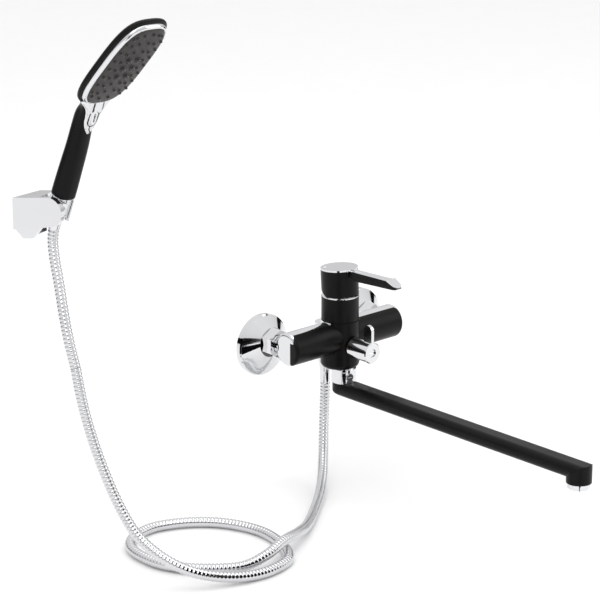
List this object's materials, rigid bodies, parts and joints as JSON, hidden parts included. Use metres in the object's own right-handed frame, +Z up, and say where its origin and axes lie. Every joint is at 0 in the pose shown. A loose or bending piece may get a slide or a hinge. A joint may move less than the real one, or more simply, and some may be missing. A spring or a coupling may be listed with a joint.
{
  "type": "wall mounted bath faucet",
  "caption": "Single lever wall mounted bath mixer with a long swing spout, a diverter and a hand shower on a hose that rests in a wall bracket.",
  "frame": {"origin": "on the wall plane, on the axis of the left inlet", "axes": "+X along the wall, -Y out of the wall, +Z up"},
  "size_m": [0.5338, 0.4602, 0.6187],
  "materials": {
    "chrome": "polished",
    "black_metal": "satin",
    "black_plastic": "satin",
    "chrome_plastic": "chrome plated",
    "brass": "machined",
    "steel": "machined",
    "rubber": "matt",
    "white_plastic": "moulded",
    "slate_plastic": "matt"
  },
  "bodies": {
    "faucet": {"eccentric_union_left": "brass", "eccentric_union_right": "brass", "escutcheon_left": "chrome", "escutcheon_right": "chrome", "union_nut_left": "chrome", "union_nut_right": "chrome", "union_washers": "rubber", "body_casting": "chrome", "body_front_cover": "black_metal", "cartridge_sleeve": "black_metal", "trim_dome": "chrome", "cartridge_housing": "white_plastic", "cartridge_seals": "rubber", "cartridge_nut": "brass", "ceramic_disc_fixed": "white_plastic", "diverter_cartridge": "brass", "spout_nut": "chrome", "spout_lock_screw": "chrome", "check_valve": "white_plastic", "hose_nut": "chrome", "hose_washer": "rubber", "shower_hose": "steel", "bracket_body": "chrome_plastic", "bracket_wall_plate": "steel", "bracket_grub_screw": "steel"},
    "temperature": {"cartridge_carrier": "white_plastic", "carrier_pin": "steel"},
    "lever": {"lever_spindle": "brass", "lever_handle": "black_metal", "lever_top_plate": "chrome", "lever_grub_screw": "steel", "lever_index_button": "white_plastic"},
    "mixing_disc": {"ceramic_disc_moving": "white_plastic"},
    "diverter": {"diverter_spindle": "brass", "diverter_knob": "chrome", "diverter_knob_screw": "chrome"},
    "spout": {"spout_tube": "black_metal", "spout_o_rings": "rubber", "spout_slip_ring": "white_plastic", "aerator_housing": "chrome", "aerator_insert": "white_plastic", "aerator_washer": "rubber"},
    "holder": {"holder_clip": "chrome_plastic", "holder_pivot_screw": "steel", "friction_washer": "rubber"},
    "hose_end": {"hose_ferrule": "chrome", "cone_nut": "chrome_plastic", "cone_washer": "rubber", "hose_top_length": "steel"},
    "handset": {"handset_shell": "black_plastic", "handset_connector": "brass", "handset_water_tube": "white_plastic", "handset_front_trim": "chrome_plastic", "spray_plate": "slate_plastic", "fine_nozzles": "rubber", "massage_nozzles": "rubber", "button_spring": "steel"},
    "spray_push": {"spray_button": "chrome_plastic"}
  },
  "joints": [
    {"name": "temperature_turn", "type": "hinge", "parent": "faucet", "child": "temperature", "pos_m": [0.075, -0.055, 0.0615], "axis": [0, 0, 1], "range_deg": [-50, 50]},
    {"name": "lever_lift", "type": "hinge", "parent": "temperature", "child": "lever", "pos_m": [0.075, -0.055, 0.0615], "axis": [-1, 0, 0], "range_deg": [0, 20]},
    {"name": "disc_slide", "type": "slide", "parent": "temperature", "child": "mixing_disc", "axis": [0, -1, 0], "range_m": [0, 0.0042]},
    {"name": "diverter_turn", "type": "hinge", "parent": "faucet", "child": "diverter", "pos_m": [0.075, -0.095, -0.002], "axis": [0, -1, 0], "range_deg": [0, 90]},
    {"name": "spout_swing", "type": "hinge", "parent": "faucet", "child": "spout", "pos_m": [0.075, -0.062, -0.04], "axis": [0, 0, 1], "range_deg": [-75, 75]},
    {"name": "holder_tilt", "type": "hinge", "parent": "faucet", "child": "holder", "pos_m": [-0.313, -0.036, 0.2285], "axis": [0.9455, 0.3256, 0], "range_deg": [-15, 15], "deforming": ["shower_hose", "hose_top_length"]},
    {"name": "handset_lift_off", "type": "slide", "parent": "holder", "child": "hose_end", "axis": [0.106, -0.3078, 0.9455], "range_m": [0, 0.08], "deforming": ["shower_hose", "hose_top_length"]},
    {"name": "handset_turn", "type": "hinge", "parent": "hose_end", "child": "handset", "pos_m": [-0.313, -0.036, 0.2285], "axis": [0.106, -0.3078, 0.9455], "continuous": true},
    {"name": "spray_button_push", "type": "slide", "parent": "handset", "child": "spray_push", "axis": [-0.0872, 0.9443, 0.3172], "range_m": [0, 0.002], "stiffness_N_per_m": 400, "deforming": ["button_spring"]}
  ],
  "couplings": [
    {"joint": "disc_slide", "follows": "lever_lift", "m_per_rad": 0.011}
  ]
}
